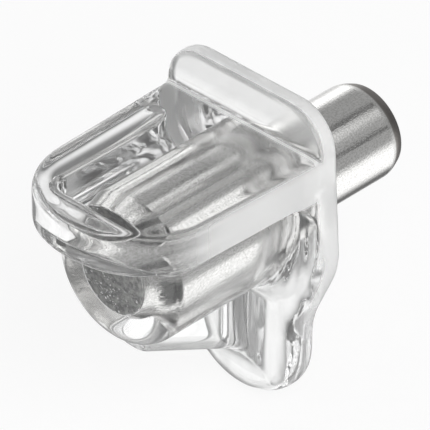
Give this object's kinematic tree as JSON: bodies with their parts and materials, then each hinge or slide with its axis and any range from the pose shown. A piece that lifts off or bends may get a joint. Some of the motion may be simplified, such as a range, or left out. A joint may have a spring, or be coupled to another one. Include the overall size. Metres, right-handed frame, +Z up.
{
  "type": "shelf support pin",
  "caption": "Clear moulded shelf support with a rounded plate, a back flange and a gusset, carried on a plain steel pin.",
  "frame": {"origin": "on the pin's axis, in the plane of the flange's back face", "axes": "+Y along the pin, out of the back into the cabinet side; +Z up, out of the shelf face; +X to the right seen from the front"},
  "size_m": [0.0108, 0.0203, 0.0177],
  "materials": {
    "clear_plastic": "clear, polished moulding",
    "plated_steel": "bright plated, fine drawn grain along the pin"
  },
  "bodies": {
    "root": {"bracket": "clear_plastic", "pin": "plated_steel"}
  },
  "joints": []
}
